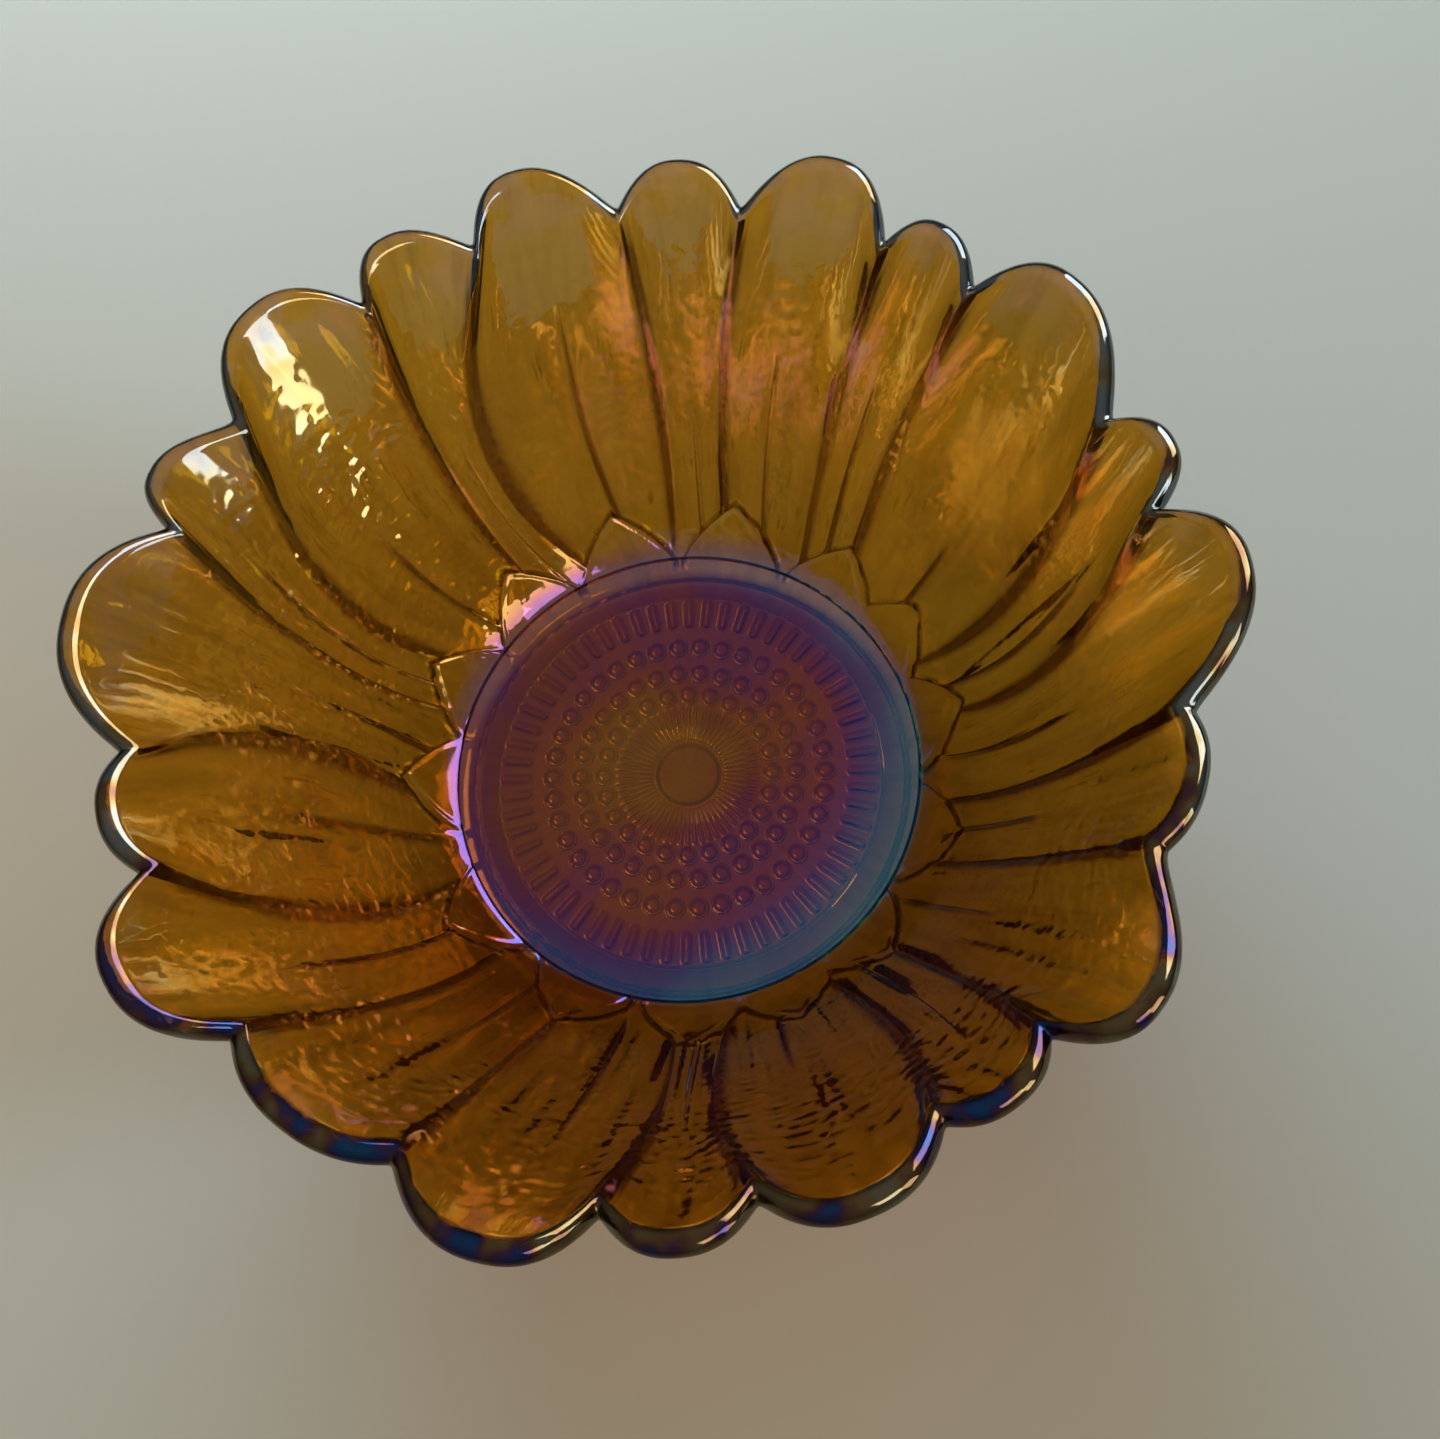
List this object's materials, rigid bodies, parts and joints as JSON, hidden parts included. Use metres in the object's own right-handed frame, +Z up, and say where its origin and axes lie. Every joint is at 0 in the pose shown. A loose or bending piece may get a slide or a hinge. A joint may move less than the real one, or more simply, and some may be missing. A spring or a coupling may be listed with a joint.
{
  "type": "scalloped glass bowl",
  "caption": "Pressed iridescent glass bowl shaped as an open sunflower, with a petalled wall, a wavy rounded rim and a flat foot ring, for serving or display",
  "frame": {"origin": "the middle of the plane that the foot ring rests on, on the axis of the foot", "axes": "+Z points up out of the bowl; +X points to the right and +Y away from a person at the table, and the notch the list of petals starts from is 9 degrees clockwise of +X"},
  "size_m": [0.1775, 0.173, 0.075],
  "materials": {
    "amber_glass": "glossy amber glass with a fired-on iridescent film on the inside and the rim"
  },
  "bodies": {
    "root": {"glass_bowl": "amber_glass"}
  },
  "joints": []
}
